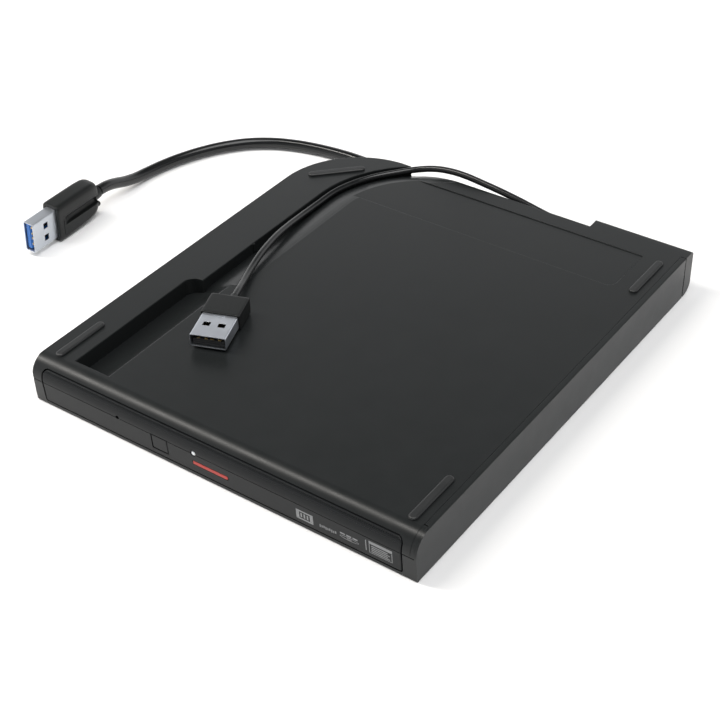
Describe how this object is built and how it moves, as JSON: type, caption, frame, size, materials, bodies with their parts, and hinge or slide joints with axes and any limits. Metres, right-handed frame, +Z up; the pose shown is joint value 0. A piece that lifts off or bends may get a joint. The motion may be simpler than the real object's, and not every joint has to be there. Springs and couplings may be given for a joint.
{
  "type": "external optical drive",
  "caption": "Slim portable disc drive lying on its top cover, with a sliding disc tray, rubber feet, a lead groove and two captive USB leads.",
  "frame": {"origin": "centre of the case footprint, on the surface that the drive lies on with its underside up", "axes": "+Z up, away from that surface, so the underside with the feet faces +Z; the loading front faces -Y; +X is to the right seen from the front; the leads leave at +Y"},
  "size_m": [0.2109, 0.1766, 0.0221],
  "materials": {
    "case": "fine satin moulding texture, dark grey",
    "rubber": "matte black rubber",
    "bezel": "fine satin moulding texture, dark grey",
    "accent": "satin red strip",
    "light_guide": "milky light guide",
    "tray": "black moulding",
    "sheet_steel": "zinc plated pressed sheet",
    "bright_steel": "nickel plated",
    "shaft": "ground and polished",
    "chip": "black moulded epoxy or nylon",
    "board": "solder mask over glass laminate",
    "flex": "amber film",
    "lens": "coated glass",
    "lead_pvc": "glossy black sheath",
    "plug": "satin black overmould",
    "usb_blue": "blue insulator"
  },
  "bodies": {
    "case": {"bottom_cover": "case", "top_cover": "case", "foot_front_left": "rubber", "foot_front_right": "rubber", "foot_rear_left": "rubber", "foot_rear_right": "rubber", "drive_shell_top": "sheet_steel", "drive_shell_bottom": "sheet_steel", "rail_guide_left": "sheet_steel", "rail_guide_right": "sheet_steel", "drive_connector": "chip", "bridge_board": "board", "board_plug": "chip", "bridge_chip": "chip", "crystal_can": "bright_steel", "bulk_capacitor": "bright_steel", "flex_cable": "flex", "main_sleeve": "lead_pvc", "aux_sleeve": "lead_pvc", "main_lead": "lead_pvc", "aux_lead": "lead_pvc", "main_plug_body": "plug", "main_plug_shell": "bright_steel", "main_plug_tongue": "usb_blue", "aux_plug_body": "plug", "aux_plug_shell": "bright_steel", "aux_plug_tongue": "chip"},
    "tray": {"tray_bezel": "bezel", "accent_strip": "accent", "light_guide": "light_guide", "eject_switch": "chip", "disc_tray": "tray", "traverse_chassis": "sheet_steel", "guide_rod_main": "shaft", "guide_rod_aux": "shaft", "spindle_motor": "sheet_steel", "stepper_motor": "sheet_steel", "damper_1": "rubber", "damper_2": "rubber", "damper_3": "rubber", "tray_board": "board", "controller_chip": "chip", "driver_chip": "chip", "memory_chip": "chip", "latch_solenoid": "sheet_steel", "latch_post": "shaft"},
    "eject_button": {"eject_button": "bezel"},
    "rail_left": {"middle_rail_left": "bright_steel"},
    "rail_right": {"middle_rail_right": "bright_steel"},
    "latch": {"latch_hook": "sheet_steel"},
    "spindle": {"spindle_hub": "chip"},
    "pawl_1": {"hub_pawl_1": "bezel"},
    "pawl_2": {"hub_pawl_2": "bezel"},
    "pawl_3": {"hub_pawl_3": "bezel"},
    "sled": {"pickup_sled": "sheet_steel"},
    "lens": {"lens_holder": "chip", "objective_lens": "lens"},
    "screw": {"lead_screw": "shaft"}
  },
  "joints": [
    {"name": "tray_slide", "type": "slide", "parent": "case", "child": "tray", "axis": [0, -1, 0], "range_m": [0, 0.122]},
    {"name": "rail_left_slide", "type": "slide", "parent": "case", "child": "rail_left", "axis": [0, -1, 0], "range_m": [0, 0.061]},
    {"name": "rail_right_slide", "type": "slide", "parent": "case", "child": "rail_right", "axis": [0, -1, 0], "range_m": [0, 0.061]},
    {"name": "eject_button_press", "type": "slide", "parent": "tray", "child": "eject_button", "axis": [0, 1, 0], "range_m": [0, 0.0006], "stiffness_N_per_m": 300},
    {"name": "spindle_spin", "type": "hinge", "parent": "tray", "child": "spindle", "pos_m": [0, -0.0175, 0.0046], "axis": [0, 0, 1], "continuous": true},
    {"name": "pawl_1_slide", "type": "slide", "parent": "spindle", "child": "pawl_1", "axis": [0, -1, 0], "range_m": [0, 0.0005], "stiffness_N_per_m": 40},
    {"name": "pawl_2_slide", "type": "slide", "parent": "spindle", "child": "pawl_2", "axis": [0.866, 0.5, 0], "range_m": [0, 0.0005], "stiffness_N_per_m": 40},
    {"name": "pawl_3_slide", "type": "slide", "parent": "spindle", "child": "pawl_3", "axis": [-0.866, 0.5, 0], "range_m": [0, 0.0005], "stiffness_N_per_m": 40},
    {"name": "sled_slide", "type": "slide", "parent": "tray", "child": "sled", "axis": [0.7071, -0.7071, 0], "range_m": [-0.001, 0.0305]},
    {"name": "lens_focus", "type": "slide", "parent": "sled", "child": "lens", "axis": [0, 0, 1], "range_m": [-0.0004, 0.0004], "stiffness_N_per_m": 60},
    {"name": "lead_screw_turn", "type": "hinge", "parent": "tray", "child": "screw", "pos_m": [0.01655, -0.05469, 0.0083], "axis": [0.7071, -0.7071, 0], "range_deg": [-130, 3720]},
    {"name": "latch_swing", "type": "hinge", "parent": "tray", "child": "latch", "pos_m": [-0.0305, -0.06, 0.0117], "axis": [0, 0, 1], "range_deg": [-24, 0]}
  ],
  "couplings": [
    {"joint": "rail_left_slide", "follows": "tray_slide", "ratio": 0.5},
    {"joint": "rail_right_slide", "follows": "tray_slide", "ratio": 0.5},
    {"joint": "lead_screw_turn", "follows": "sled_slide", "rad_per_m": 2094.4}
  ]
}
